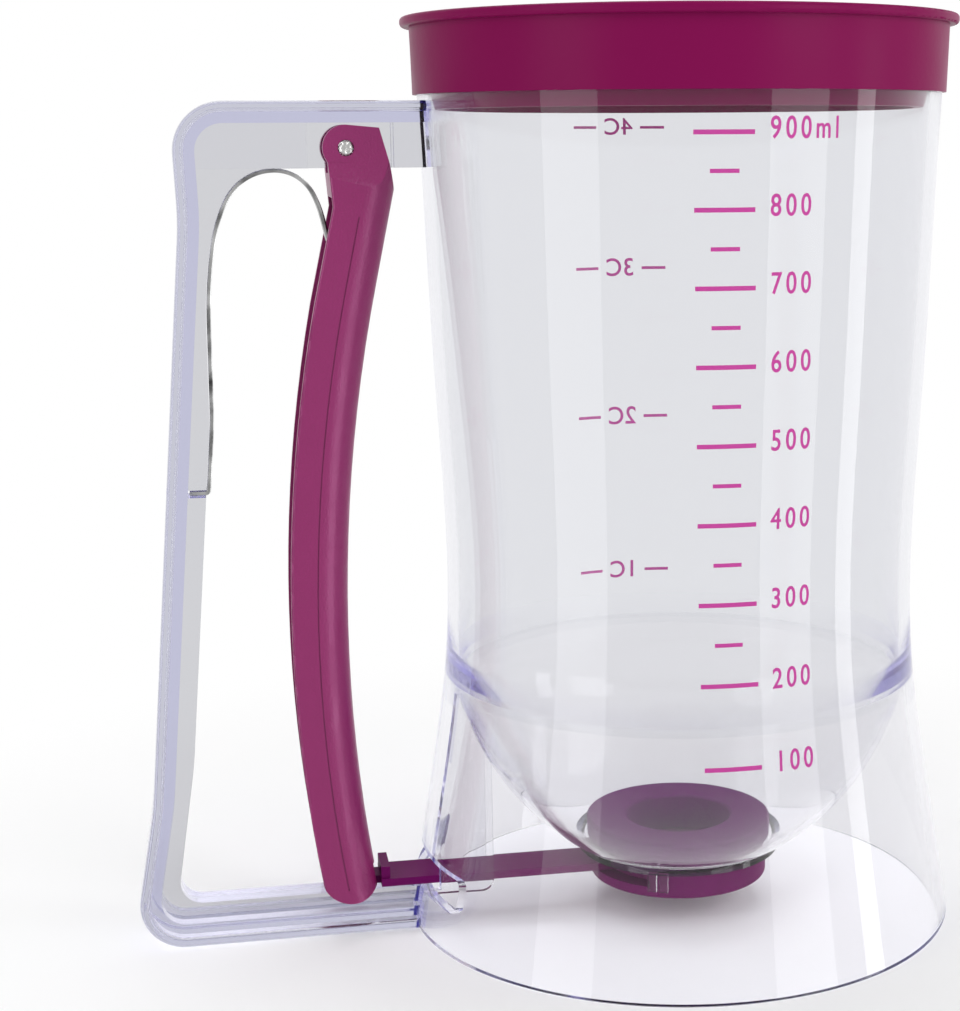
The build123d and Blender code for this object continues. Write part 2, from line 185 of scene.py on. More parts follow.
# %% Make the lid's plastic
def new_finish(name, colour, **settings):
    """A material with one Principled BSDF, with plain settings on its own sockets."""
    material = bpy.data.materials.new(name)
    material.use_nodes = True
    shader = material.node_tree.nodes["Principled BSDF"]
    shader.inputs["Base Color"].default_value = (*colour, 1.0)
    for label, value in settings.items():
        shader.inputs[label.replace("_", " ")].default_value = value
    return material, shader


def add_marks(material, shader, values, socket="Roughness"):
    """Patches that vary one socket of the shader. The values are a scale, a middle and a spread."""
    tree = material.node_tree
    marks = tree.nodes.new("ShaderNodeGroup")
    marks.node_tree = marks_and_painted_streaks
    for label, value in zip(("Scale", "Middle", "Spread"), values):
        marks.inputs[label].default_value = value
    tree.links.new(marks.outputs["Value"], shader.inputs[socket])
    return marks.outputs["Value"]


def add_grain(material, shader, scale, depth):
    """A fine moulded grain, as a bump of the given depth in metres."""
    tree = material.node_tree
    grain = tree.nodes.new("ShaderNodeGroup")
    grain.node_tree = mould_grain
    grain.inputs["Scale"].default_value = scale
    bump = tree.nodes.new("ShaderNodeBump")
    bump.inputs["Distance"].default_value = depth
    tree.links.new(grain.outputs["Height"], bump.inputs["Height"])
    tree.links.new(bump.outputs["Normal"], shader.inputs["Normal"])


def grained_finish(name, colour, marks, grain, **settings):
    """A finish with handling marks and the fine grain of its tool."""
    material, shader = new_finish(name, colour, **settings)
    add_marks(material, shader, marks)
    add_grain(material, shader, *grain)
    return material


lid_plastic = grained_finish(
    "lid_plastic", (0.175, 0.004, 0.062), (60.0, 0.34, 0.05), (900.0, 0.02 * MM),
    Specular_IOR_Level=0.04,
)
print("lid plastic nodes:", len(lid_plastic.node_tree.nodes))

# %% Make the other purple finishes
trigger_plastic = grained_finish(
    "trigger_plastic", (0.19, 0.006, 0.08), (90.0, 0.38, 0.06), (2200.0, 0.07 * MM),
    Specular_IOR_Level=0.7, Specular_Tint=(1.0, 0.6, 0.88, 1.0),
)
valve_plastic = grained_finish(
    "valve_plastic", (0.115, 0.003, 0.078), (70.0, 0.48, 0.05), (1200.0, 0.02 * MM),
    Specular_IOR_Level=0.05,
)
seal_rubber = grained_finish(
    "seal_rubber", (0.13, 0.014, 0.12), (120.0, 0.7, 0.06), (1800.0, 0.05 * MM),
    Specular_IOR_Level=0.06,
)
print("purple finishes:", trigger_plastic.name, valve_plastic.name, seal_rubber.name)

# %% [markdown]
# ## Steel and ink
#
# The bent strip of the spring was rolled bright, and its bends mirror light and dark in streaks.
# These streaks are a painted reflection: patches vary its colour, as well as its roughness. The
# pin's end is turned and has a coarse grain.
# The ink is a thin film. Light that falls on its back shines through, so part of it is translucent.

# %% Make the steel and the ink
INK_GLOW = 0.4

spring_steel, spring_shader = new_finish("spring_steel", (0.3, 0.3, 0.3), Metallic=1.0)
add_marks(spring_steel, spring_shader, (500.0, 0.2, 0.06))
# Painted reflection: light and dark streaks in the steel's colour stand in for what its bends mirror.
add_marks(spring_steel, spring_shader, (160.0, 0.26, 0.24), "Base Color")

pin_steel = grained_finish(
    "pin_steel", (0.42, 0.42, 0.41), (900.0, 0.22, 0.08), (1500.0, 0.3 * MM), Metallic=1.0
)


def make_ink(colour):
    """A thin film of ink, which also glows with the light that falls on its back."""
    material, shader = new_finish("scale_ink", colour, Specular_IOR_Level=0.1, Alpha=0.85)
    add_marks(material, shader, (800.0, 0.5, 0.08))
    tree = material.node_tree
    glow = tree.nodes.new("ShaderNodeBsdfTranslucent")
    glow.inputs["Color"].default_value = (*colour, 1.0)
    film = tree.nodes.new("ShaderNodeMixShader")
    film.inputs["Fac"].default_value = INK_GLOW
    tree.links.new(shader.outputs["BSDF"], film.inputs[1])
    tree.links.new(glow.outputs["BSDF"], film.inputs[2])
    tree.links.new(film.outputs["Shader"], tree.nodes["Material Output"].inputs["Surface"])
    return material


scale_ink = make_ink((0.70, 0.10, 0.46))
print("steel and ink:", spring_steel.name, pin_steel.name, scale_ink.name)

# %% [markdown]
# ## Clear plastic
#
# Thin clear plastic looks nearly white, but where light runs a long way inside it, along a rim or
# a thick corner, it turns violet-blue. A colour on the surface can't do that, so the tint is an
# absorption inside the volume. The jug is one piece with one material, because light that entered
# through one material and left through another would never stop being absorbed. What differs
# from wall to wall comes from two attributes of the mesh: a little haze, and a grey that is
# painted shade, a darker look painted into the colour that the walls let through.
#
# Lamps would throw a black shadow through refracting plastic, because a shadow ray doesn't bend,
# so shadow rays see a plain transparent skin instead. Light is led along inside the walls by many
# reflections, so the limits on bounces are high: a ray that is cut short would be black.

# %% Make the clear plastic
BOUNCES = 256


def add_attribute(tree, name):
    """A node that reads an attribute of the mesh."""
    node = tree.nodes.new("ShaderNodeAttribute")
    node.attribute_name = name
    return node


def make_clear_plastic():
    """Refracting plastic with a violet tint in its depth and a light shadow."""
    material, shader = new_finish(
        "clear_plastic", (0.9, 0.9, 0.9),
        Transmission_Weight=1.0, IOR=1.49, Specular_Tint=(0.4, 0.4, 0.4, 1.0),
    )
    marks = add_marks(material, shader, (30.0, 0.02, 0.015))
    tree = material.node_tree
    # The wall's colour comes from an attribute that holds painted shade as well as the rims' violet.
    tree.links.new(add_attribute(tree, "wall_tint").outputs["Color"], shader.inputs["Base Color"])
    dull = tree.nodes.new("ShaderNodeMath")
    tree.links.new(marks, dull.inputs[0])
    tree.links.new(add_attribute(tree, "wall_haze").outputs["Fac"], dull.inputs[1])
    tree.links.new(dull.outputs[0], shader.inputs["Roughness"])
    out = tree.nodes["Material Output"]
    rays = tree.nodes.new("ShaderNodeLightPath")
    skin = tree.nodes.new("ShaderNodeBsdfTransparent")
    skin.inputs["Color"].default_value = (0.97, 0.97, 0.975, 1.0)
    choice = tree.nodes.new("ShaderNodeMixShader")
    tree.links.new(rays.outputs["Is Shadow Ray"], choice.inputs["Fac"])
    tree.links.new(shader.outputs["BSDF"], choice.inputs[1])
    tree.links.new(skin.outputs["BSDF"], choice.inputs[2])
    tree.links.new(choice.outputs["Shader"], out.inputs["Surface"])
    depth = tree.nodes.new("ShaderNodeVolumeAbsorption")
    depth.inputs["Color"].default_value = (0.40, 0.35, 0.84, 1.0)
    depth.inputs["Density"].default_value = 10.0
    tree.links.new(depth.outputs["Volume"], out.inputs["Volume"])
    return material


clear_plastic = make_clear_plastic()
bpy.context.scene.cycles.max_bounces = BOUNCES
bpy.context.scene.cycles.glossy_bounces = BOUNCES
bpy.context.scene.cycles.transmission_bounces = BOUNCES
print("clear plastic nodes:", len(clear_plastic.node_tree.nodes))

# %% [markdown]
# ## Small tools for new pieces
#
# Every new piece starts as a bmesh and becomes an object at the origin. The jug's pieces and the
# trigger are then told which body they move with. Boolean modifiers and thickness modifiers are
# turned into plain mesh straight away, so that the finished piece carries no hidden steps.

# %% Define the tools that shape a piece
MERGE = 0.001 * MM
NEAR = 0.01 * MM


def new_piece(name, shape):
    """An object at the origin that holds a bmesh's shape."""
    mesh = bpy.data.meshes.new(name)
    shape.to_mesh(mesh)
    shape.free()
    piece = bpy.data.objects.new(name, mesh)
    bpy.context.scene.collection.objects.link(piece)
    return piece


def merged_shape(node):
    """A bmesh of a node's mesh, its loose triangles joined up and its stored normals left out."""
    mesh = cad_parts[node].data.copy()
    stored = mesh.attributes.get("custom_normal")
    if stored:
        mesh.attributes.remove(stored)
    shape = bmesh.new()
    shape.from_mesh(mesh)
    bpy.data.meshes.remove(mesh)
    bmesh.ops.remove_doubles(shape, verts=shape.verts, dist=MERGE)
    return shape


def add_shape(shape, other):
    """Moves one bmesh into another."""
    mesh = bpy.data.meshes.new("part")
    other.to_mesh(mesh)
    other.free()
    shape.from_mesh(mesh)
    bpy.data.meshes.remove(mesh)


def points_of(made):
    """The vertices among the geometry that an operator made."""
    return [item for item in made if isinstance(item, bmesh.types.BMVert)]


def round_edges(shape, edges, radius, segments):
    """Bevels edges of a bmesh to a round."""
    bmesh.ops.bevel(
        shape, geom=edges, offset=radius, affect="EDGES", segments=segments, profile=0.5, material=-1
    )


print("doubles are merged within mm:", MERGE / MM)

# %% Define the tools that finish a piece
CREASE_ANGLE = math.radians(28)


def settle(piece):
    """Turns a piece's modifiers into plain mesh."""
    graph = bpy.context.evaluated_depsgraph_get()
    done = bpy.data.meshes.new_from_object(piece.evaluated_get(graph))
    piece.modifiers.clear()
    piece.data = done


def combine(piece, other, operation):
    """Joins another piece to this one, or cuts it away, and uses it up."""
    boolean = piece.modifiers.new("boolean", "BOOLEAN")
    boolean.operation = operation
    boolean.solver = "EXACT"
    boolean.object = other
    settle(piece)
    bpy.data.objects.remove(other)


def smooth_faces(piece, crease):
    """Smooth shading, with edges sharper than the crease angle kept sharp."""
    piece.data.polygons.foreach_set("use_smooth", [True] * len(piece.data.polygons))
    piece.data.set_sharp_from_angle(angle=crease)


def shade_smooth(piece):
    """Smooth shading that keeps creases sharp and large faces flat."""
    smooth_faces(piece, CREASE_ANGLE)
    weighted = piece.modifiers.new("weighted", "WEIGHTED_NORMAL")
    weighted.keep_sharp = True
    settle(piece)


def dress(piece, material):
    """Gives a new piece its finish."""
    piece.data.materials.clear()
    piece.data.materials.append(material)


print("crease angle in degrees:", round(math.degrees(CREASE_ANGLE)))

# %% [markdown]
# ## The clear jug, turned from its section
#
# Barrel, funnel and skirt are round, and on the real jug no seam shows between them. Light would
# bounce at every seam of three touching solids, so they become one skin: fuse copies, cut through
# the middle, keep the half of the section that lies away from the handle, and spin it once round.
# Spinning also gives even rows of faces, which refract without ripples. Under the waist, where the
# solids leave a narrow flat ledge between skirt and funnel, the section's points are merged, so
# that the two walls meet in a crevice as they do on a moulding.

# %% Spin the round body
SPIN_STEPS = 192
JUG_WALL = 2.2 * MM
LEDGE_HEIGHT = 50.0 * MM
LEDGE_REACH = 48.0 * MM
CREVICE_TOP = Vector((46.66, 0, 51.25)) * MM


def half_section(nodes):
    """The section through several round nodes, on the side away from the handle."""
    solid = new_piece("section", merged_shape(nodes[0]))
    for node in nodes[1:]:
        combine(solid, new_piece(node, merged_shape(node)), "UNION")
    shape = bmesh.new()
    shape.from_mesh(solid.data)
    bpy.data.objects.remove(solid)
    cut = shape.verts[:] + shape.edges[:] + shape.faces[:]
    bmesh.ops.bisect_plane(
        shape, geom=cut, dist=MERGE, plane_no=(0, 1, 0), clear_inner=True, clear_outer=True
    )
    handle_side = [v for v in shape.verts if v.co.x < 0]
    bmesh.ops.delete(shape, geom=handle_side, context="VERTS")
    return shape


def close_crevice(shape):
    """Merges the ledge's points in the section."""
    level = [v for v in shape.verts if abs(v.co.z - LEDGE_HEIGHT) < NEAR]
    ledge = [v for v in level if v.co.x < LEDGE_REACH]
    bmesh.ops.pointmerge(shape, verts=ledge, merge_co=CREVICE_TOP)


def spin_body():
    """The round body, and a tree to cast rays at it."""
    shape = half_section(("jug_barrel", "jug_funnel", "jug_skirt"))
    close_crevice(shape)
    print("section points:", len(shape.verts), "edges:", len(shape.edges))
    bmesh.ops.spin(
        shape, geom=shape.verts[:] + shape.edges[:], cent=(0, 0, 0), axis=(0, 0, 1),
        angle=math.tau, steps=SPIN_STEPS, use_merge=True,
    )
    bmesh.ops.recalc_face_normals(shape, faces=shape.faces)
    tree = BVHTree.FromBMesh(shape)
    return new_piece("clear_jug", shape), tree


clear_jug, round_body = spin_body()
print("round body faces:", len(clear_jug.data.polygons))

# %% [markdown]
# ## The leaf spring
#
# The spring is one bright steel strip. It hooks into the handle's limb, runs up it, turns over in
# an arch and ends inside the hollow trigger. A strip like this is quickest to make from a single
# crosswise edge: extrude it for the straight runs and spin it for the bends, then give the sheet
# its thickness.

# %% Define a strip that runs and bends
class Strip:
    """A strip of sheet that is made from its end edge, one run or bend after another."""

    def __init__(self, place, width, heading):
        self.shape = bmesh.new()
        self.place = Vector(place)
        self.heading = heading
        across = Vector((0, width / 2, 0))
        ends = [self.shape.verts.new(self.place - across), self.shape.verts.new(self.place + across)]
        self.edge = self.shape.edges.new(ends)

    def take_edge(self, made):
        """Goes on from the edge among the geometry that an operator made."""
        self.edge = next(item for item in made if isinstance(item, bmesh.types.BMEdge))

    def run(self, length, steps=1):
        """Goes straight on."""
        step = Vector((math.cos(self.heading), 0, math.sin(self.heading))) * length / steps
        for _ in range(steps):
            self.take_edge(bmesh.ops.extrude_edge_only(self.shape, edges=[self.edge])["geom"])
            bmesh.ops.translate(self.shape, verts=self.edge.verts[:], vec=step)
        self.place = self.place + step * steps

    def bend(self, radius, degrees, steps):
        """Bends up for a positive angle and down for a negative one."""
        angle = math.radians(degrees)
        side = math.copysign(radius, angle)
        centre = self.place + Vector((-math.sin(self.heading), 0, math.cos(self.heading))) * side
        made = bmesh.ops.spin(
            self.shape, geom=[self.edge], cent=centre, axis=(0, -1, 0),
            angle=angle, steps=steps, use_merge=False,
        )
        self.take_edge(made["geom_last"])
        self.place = sum((v.co for v in self.edge.verts), Vector()) / 2
        self.heading += angle


SPRING_WIDTH = 5.0 * MM
SPRING_GAUGE = 0.8 * MM
spring_low, spring_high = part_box("leaf_spring")
print("spring strip in mm:", round(SPRING_WIDTH / MM, 1), "by", round(SPRING_GAUGE / MM, 1))

# %% Lay out the spring's leg and arch
ARCH_BENDS = ((90.0, -9.5), (30.0, -17.0), (10.4, -63.0))
STEP_DEGREES = 4
FEWEST_STEPS = 4


def spring_leg():
    """The strip's hook and its long leg, up to the start of the arch."""
    strip = Strip((spring_low.x, 0, spring_low.z + SPRING_GAUGE / 2), SPRING_WIDTH, 0.0)
    strip.run(3.06 * MM)
    strip.bend(0.7 * MM, 85.1, 6)
    strip.run(10.35 * MM, 4)
    strip.bend(80.5 * MM, 4.4, 4)
    strip.run(16.15 * MM, 4)
    return strip


def rise_to_top(strip, outside):
    """The rising half of the arch, at a distance outside the spring's own middle."""
    for radius, turn in ARCH_BENDS:
        strip.bend(radius * MM + outside, turn, max(FEWEST_STEPS, round(-turn / STEP_DEGREES)))


def fall_to_end(strip):
    """The falling half of the arch and the free leg, which ends inside the trigger."""
    strip.bend(8.2 * MM, -63.0, 16)
    strip.bend(20.0 * MM, -14.0, 4)
    strip.run(6.0 * MM, 2)
    strip.bend(60.0 * MM, -20.0, 8)


print("turn to the top of the arch in degrees:", sum(turn for _, turn in ARCH_BENDS))

# %% Bend the leaf spring
SPRING_ROUND = 0.15 * MM
SHARP_ANGLE = math.radians(50)
STRIP_CREASE = math.radians(40)


def soften(piece, radius):
    """Rounds the sharp edges of a piece and shades it smooth."""
    shape = bmesh.new()
    shape.from_mesh(piece.data)
    round_edges(shape, [e for e in shape.edges if e.calc_face_angle(0) > SHARP_ANGLE], radius, 2)
    bmesh.ops.recalc_face_normals(shape, faces=shape.faces)
    shape.to_mesh(piece.data)
    shape.free()
    smooth_faces(piece, STRIP_CREASE)


def make_spring():
    """The whole strip, from its hook in the limb to its free end in the trigger."""
    strip = spring_leg()
    rise_to_top(strip, 0)
    fall_to_end(strip)
    spring = new_piece("bent_spring", strip.shape)
    sheet = spring.modifiers.new("gauge", "SOLIDIFY")
    sheet.thickness = SPRING_GAUGE
    sheet.offset = 0
    settle(spring)
    soften(spring, SPRING_ROUND)
    dress(spring, spring_steel)
    return spring


leaf_spring = make_spring()
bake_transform(leaf_spring)
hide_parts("leaf_spring")
print("spring faces:", len(leaf_spring.data.polygons))

# %% [markdown]
# ## The handle
#
# The handle's two ends sink into the jug's wall. Its solid ends on flat seats just outside, so a
# copy of it has both end faces extruded to the middle of the wall. Rays that are cast at the round
# body tell how far out the wall is at any height.

# %% Draw the handle's ends into the wall
CAST_RADIUS = 0.2
SEAT_REACH = 60.0 * MM
SEAT_FACING = 0.99


def outer_radius(height):
    """Radius of the jug's outer face at a height."""
    return round_body.ray_cast(Vector((CAST_RADIUS, 0, height)), Vector((-1, 0, 0)))[0].x


def at_radius(radius, across, height):
    """A point on the handle's side of the jug, at a radius and a distance across."""
    return Vector((-math.sqrt(radius**2 - across**2), across, height))


def mid_wall(across, height):
    """A point in the middle of the jug's wall, on the handle's side."""
    return at_radius(outer_radius(height) - JUG_WALL / 2, across, height)


def handle_shape():
    """The handle, with its end faces drawn out to the middle of the jug's wall."""
    shape = merged_shape("jug_handle")
    facing = [f for f in shape.faces if f.normal.x > SEAT_FACING]
    seats = [f for f in facing if f.calc_center_median().x > -SEAT_REACH]
    drawn = bmesh.ops.extrude_face_region(shape, geom=seats)["geom"]
    bmesh.ops.delete(shape, geom=seats, context="FACES_ONLY")
    for point in points_of(drawn):
        point.co = mid_wall(point.co.y, point.co.z)
    return shape


attachments = handle_shape()
print("handle faces:", len(attachments.faces))

# %% [markdown]
# ## Ribs and fingers
#
# Two thin ribs stand beside the gate's arm, between the skirt and the funnel, and hang down past
# the arm with a rounded corner. Each starts as a grid of two columns. One column feels for the
# skirt's wall with rays and the other for the underside of the funnel, and the sheet is then
# extruded. Two pairs of short fingers hang from the throat round the valve.

# %% Add the ribs
RIB_ROWS = 24
GRID_HALF = 0.5
RIB_CENTRE = 7.05 * MM
RIB_THICKNESS = 1.5 * MM
RIB_REACH = 40.5 * MM
RIB_BOTTOM = 7.6 * MM
RIB_TOP = 49.5 * MM
RIB_GAP = 0.2 * MM
RIB_ROUND = 2.5 * MM
SKIRT_GAP = 0.1 * MM


def under_bowl(height):
    """Radius of the funnel's outer face, felt from inside the skirt. It is negative below the funnel."""
    start = outer_radius(height) - JUG_WALL - SKIRT_GAP
    return round_body.ray_cast(Vector((start, 0, height)), Vector((-1, 0, 0)))[0].x


def rib_shape(side):
    """A thin upright rib between the skirt's wall and the underside of the funnel."""
    shape = bmesh.new()
    across = side * RIB_CENTRE - RIB_THICKNESS / 2
    made = bmesh.ops.create_grid(shape, x_segments=1, y_segments=RIB_ROWS, size=GRID_HALF)
    for point in made["verts"]:
        height = RIB_BOTTOM + math.sqrt(point.co.y + GRID_HALF) * (RIB_TOP - RIB_BOTTOM)
        if point.co.x < 0:
            point.co = mid_wall(across, height)
        else:
            bowl = at_radius(max(under_bowl(height) + RIB_GAP, abs(across)), across, height)
            point.co = Vector((min(bowl.x, -RIB_REACH), across, height))
    drawn = bmesh.ops.extrude_face_region(shape, geom=shape.faces[:])["geom"]
    bmesh.ops.translate(shape, verts=points_of(drawn), vec=(0, RIB_THICKNESS, 0))
    low = {v for v in shape.verts if v.co.z < RIB_BOTTOM + NEAR and v.co.x > -RIB_REACH - NEAR}
    round_edges(shape, [e for e in shape.edges if low.issuperset(e.verts)], RIB_ROUND, 8)
    return shape


for side in (-1, 1):
    add_shape(attachments, rib_shape(side))
print("faces with ribs:", len(attachments.faces))

# %% Add the fingers
FINGER_ANGLES = (61.0, 68.0)
FINGER_SIZE = Vector((1.1, 1.8, 4.7)) * MM
FINGER_PLACE = Vector((19.3, 0, 10.55)) * MM


def add_fingers(shape):
    """Short upright fingers that hang from the throat round the valve."""
    size = Matrix.Diagonal((*FINGER_SIZE, 1))
    for angle in FINGER_ANGLES:
        for side in (-1, 1):
            turn = Matrix.Rotation(math.pi + side * math.radians(angle), 4, "Z")
            bmesh.ops.create_cube(shape, size=1, matrix=turn @ Matrix.Translation(FINGER_PLACE) @ size)


add_fingers(attachments)
bmesh.ops.recalc_face_normals(attachments, faces=attachments.faces)
print("faces with fingers:", len(attachments.faces))

# %% [markdown]
# ## Backing and window
#
# Behind the rising half of the spring's arch, the handle's web follows the strip closely. The same
# Strip, a little outside the spring, makes that backing as a sheet, and solidify thickens it. The
# arm passes through a wide, low window in the skirt. Its cutter is a rounded block, with a core
# taken out so that it reaches no deeper than the wall.

# %% Make the backing
BACKING_DEPTH = 3.0 * MM
BACKING_GAP = 0.1 * MM
WEB_THICKNESS = 6.0 * MM


def arch_backing():
    """The part of the handle's web that lies behind the rising half of the spring's arch."""
    leg = spring_leg()
    outside = SPRING_GAUGE / 2 + BACKING_GAP
    strip = Strip(leg.place - Vector((outside, 0, 0)), WEB_THICKNESS, leg.heading)
    leg.shape.free()
    rise_to_top(strip, outside)
    bmesh.ops.recalc_face_normals(strip.shape, faces=strip.shape.faces)
    bmesh.ops.solidify(strip.shape, geom=strip.shape.faces[:], thickness=-BACKING_DEPTH)
    bmesh.ops.recalc_face_normals(strip.shape, faces=strip.shape.faces)
    return new_piece("arch_backing", strip.shape)


backing = arch_backing()
print("backing faces:", len(backing.data.polygons))

# %% Make the window's cutter
WINDOW_LOW = 8.4 * MM
WINDOW_HIGH = 15.4 * MM
WINDOW_WIDTH = 45.0 * MM
WINDOW_DEPTH = 30.0 * MM
WINDOW_MIDDLE = 55.0 * MM
WINDOW_ROUND = 2.0 * MM
WINDOW_INNER = 52.3 * MM
CORE_HEIGHT = 0.1


def window_cutter():
    """A rounded block that crosses the skirt's wall and stops short of the valve."""
    shape = bmesh.new()
    middle = Matrix.Translation((-WINDOW_MIDDLE, 0, (WINDOW_LOW + WINDOW_HIGH) / 2))
    size = Matrix.Diagonal((WINDOW_DEPTH, WINDOW_WIDTH, WINDOW_HIGH - WINDOW_LOW, 1))
    bmesh.ops.create_cube(shape, size=1, matrix=middle @ size)
    long_edges = [e for e in shape.edges if abs(e.verts[0].co.x - e.verts[1].co.x) > WINDOW_DEPTH / 2]
    round_edges(shape, long_edges, WINDOW_ROUND, 8)
    cutter = new_piece("window_cutter", shape)
    core = bmesh.new()
    bmesh.ops.create_cone(
        core, cap_ends=True, segments=SPIN_STEPS,
        radius1=WINDOW_INNER, radius2=WINDOW_INNER, depth=CORE_HEIGHT,
    )
    combine(cutter, new_piece("window_core", core), "DIFFERENCE")
    return cutter


window = window_cutter()
print("window cutter faces:", len(window.data.polygons))

# %% [markdown]
# ## One skin
#
# On the real jug all of this is clear plastic without a seam, so it becomes one mesh. Joining the
# objects would leave walls inside, where light would bounce, so booleans are used: first what is
# added, and then the window, so that it cuts through everything. Large faces stay flat and small
# rounds stay smooth, because flaws in the shading of clear plastic show at once.

# %% Fuse everything with the round body
combine(clear_jug, new_piece("attachments", attachments), "UNION")
combine(clear_jug, backing, "UNION")
combine(clear_jug, window, "DIFFERENCE")
shade_smooth(clear_jug)
dress(clear_jug, clear_plastic)
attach(clear_jug, "jug")
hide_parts("jug_barrel", "jug_funnel", "jug_skirt", "jug_handle")
print("clear jug faces:", len(clear_jug.data.polygons))

# %% [markdown]
# ## Tint and haze of the clear walls
#
# The walls are one plastic, but their colours differ, and most of that difference is painted shade.
# The thin barrel is painted a little grey and the skirt less so. The handle's thick rims are violet,
# the plastic's own colour in its depth, and painted darker, with paler edges between their steps.
# The inner walls at the waist, where barrel, funnel and skirt meet, are slightly hazy, and so is
# the handle. Each face of the jug stores both values as attributes, and the clear plastic reads
# them.

# %% Tint the walls
WAIST = 50.0 * MM
SHOULDER = 168.5 * MM
HANDLE_MARGIN = 0.3 * MM
WEB_HALF = 4.6 * MM
TIER_HALF = 6.7 * MM
RIB_FACING = 0.9
SIDE_FACING = 0.5
# Painted shade: the greys, and the darkness of the handle's rims, are painted into what each wall lets
# through; the violet is the plastic's own colour.
BARREL_PAINTED_GREY = (0.875, 0.88, 0.89, 1.0)
BASE_PAINTED_GREY = (0.93, 0.93, 0.935, 1.0)
WEB_PAINTED_GREY = (0.65, 0.655, 0.665, 1.0)
TIER_TINT = (0.56, 0.565, 0.69, 1.0)
FLANGE_TINT = (0.62, 0.63, 0.67, 1.0)
EDGE_TINT = (0.84, 0.84, 0.91, 1.0)
RIB_EDGE_TINT = (0.58, 0.58, 0.76, 1.0)


def beyond_wall(place):
    """How far a point is outside the jug's outer face. Nothing is outside it above the shoulder."""
    if place.z > SHOULDER:
        return 0.0
    return place.xy.length - outer_radius(max(place.z, HANDLE_MARGIN))


def on_rib_edge(face):
    """Whether a face is the thin inner or lower edge of a rib."""
    place = face.center
    inner = place.x < -RIB_REACH + HANDLE_MARGIN and abs(place.y) < RIB_CENTRE + RIB_THICKNESS
    return inner and place.z < RIB_TOP and max(face.normal.x, -face.normal.z) > RIB_FACING


def wall_tint(face):
    """What one wall lets through, with painted shade: the base is clearest, the barrel is painted grey,
    and the handle's long ways are violet and painted darker.
    """
    place = face.center
    if beyond_wall(place) < HANDLE_MARGIN:
        if on_rib_edge(face):
            return RIB_EDGE_TINT
        return BASE_PAINTED_GREY if place.z < WAIST else BARREL_PAINTED_GREY
    if abs(face.normal.y) < SIDE_FACING:
        return EDGE_TINT
    if abs(place.y) > TIER_HALF:
        return FLANGE_TINT
    return TIER_TINT if abs(place.y) > WEB_HALF else WEB_PAINTED_GREY


walls = clear_jug.data.polygons
tint = clear_jug.data.attributes.new("wall_tint", "FLOAT_COLOR", "FACE")
tint.data.foreach_set("color", [part for face in walls for part in wall_tint(face)])
print("tinted faces:", len(tint.data))

# %% Add the haze
WELD_LOW = 45.0 * MM
WELD_HIGH = 58.0 * MM
WELD_HAZE = 0.07
HANDLE_HAZE = 0.06
SKIN = 0.5 * MM


def wall_haze(face):
    """Extra roughness of the handle, and of the inner walls where barrel, funnel and skirt meet."""
    place = face.center
    outside = beyond_wall(place)
    if outside > HANDLE_MARGIN:
        return HANDLE_HAZE
    return WELD_HAZE if WELD_LOW < place.z < WELD_HIGH and outside < -SKIN else 0.0


haze = clear_jug.data.attributes.new("wall_haze", "FLOAT", "FACE")
haze.data.foreach_set("value", [wall_haze(face) for face in walls])
print("hazy faces:", sum(item.value > 0 for item in haze.data))

# %% [markdown]
# ## Printed scales
#
# The front carries a millilitre scale and the back a cup scale, both printed in magenta ink. The
# numbers start as flat text, made narrower and a little bolder, and the marks as thin bars. Every
# point is then cast inwards onto the jug, so the print follows the wall exactly, and it has a real
# film thickness.

# %% Define how a print is cast onto the jug
PRINT_LIFT = 0.02 * MM
wall_points = [v.co.copy() for v in clear_jug.data.vertices]
jug_wall = BVHTree.FromPolygons(wall_points, [f.vertices[:] for f in walls])


def wrap_on_jug(shape, side):
    """Casts a flat print onto the jug. Its x is an arc length and its y a height; side is -1 in front."""
    inwards = Vector((0, -side, 0))
    for point in shape.verts:
        arc, height, film = point.co
        middle = jug_wall.ray_cast(Vector((0, side * CAST_RADIUS, height)), inwards)[0]
        turn = arc / middle.xy.length
        out = Vector((-side * math.sin(turn), side * math.cos(turn), 0))
        hit, normal, _, _ = jug_wall.ray_cast(out * CAST_RADIUS + Vector((0, 0, height)), -out)
        point.co = hit + normal * (PRINT_LIFT + film)


def finish_print(name, shape, side):
    """Wraps a flat print and makes it a piece on the jug."""
    wrap_on_jug(shape, side)
    bmesh.ops.remove_doubles(shape, verts=shape.verts, dist=MERGE)
    bmesh.ops.recalc_face_normals(shape, faces=shape.faces)
    piece = new_piece(name, shape)
    shade_smooth(piece)
    dress(piece, scale_ink)
    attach(piece, "jug")
    return piece


print("points that prints are cast onto:", len(wall_points))

# %% Define the bars and the words of a print
PRINT_FILM = 0.04 * MM
PRINT_BOLD = 0.06 * MM
BAR_CUTS = 10


def add_bar(shape, centre, height, length, thickness):
    """A flat printed bar, cut into short steps so that it can bend round the jug."""
    flat = Matrix.Translation((centre, height, PRINT_FILM / 2))
    size = Matrix.Diagonal((length, thickness, PRINT_FILM, 1))
    made = bmesh.ops.create_cube(shape, size=1, matrix=flat @ size)
    edges = dict.fromkeys(e for v in made["verts"] for e in v.link_edges)
    long_edges = [e for e in edges if abs(e.verts[0].co.x - e.verts[1].co.x) > length / 2]
    bmesh.ops.subdivide_edges(shape, edges=long_edges, cuts=BAR_CUTS, use_grid_fill=True)


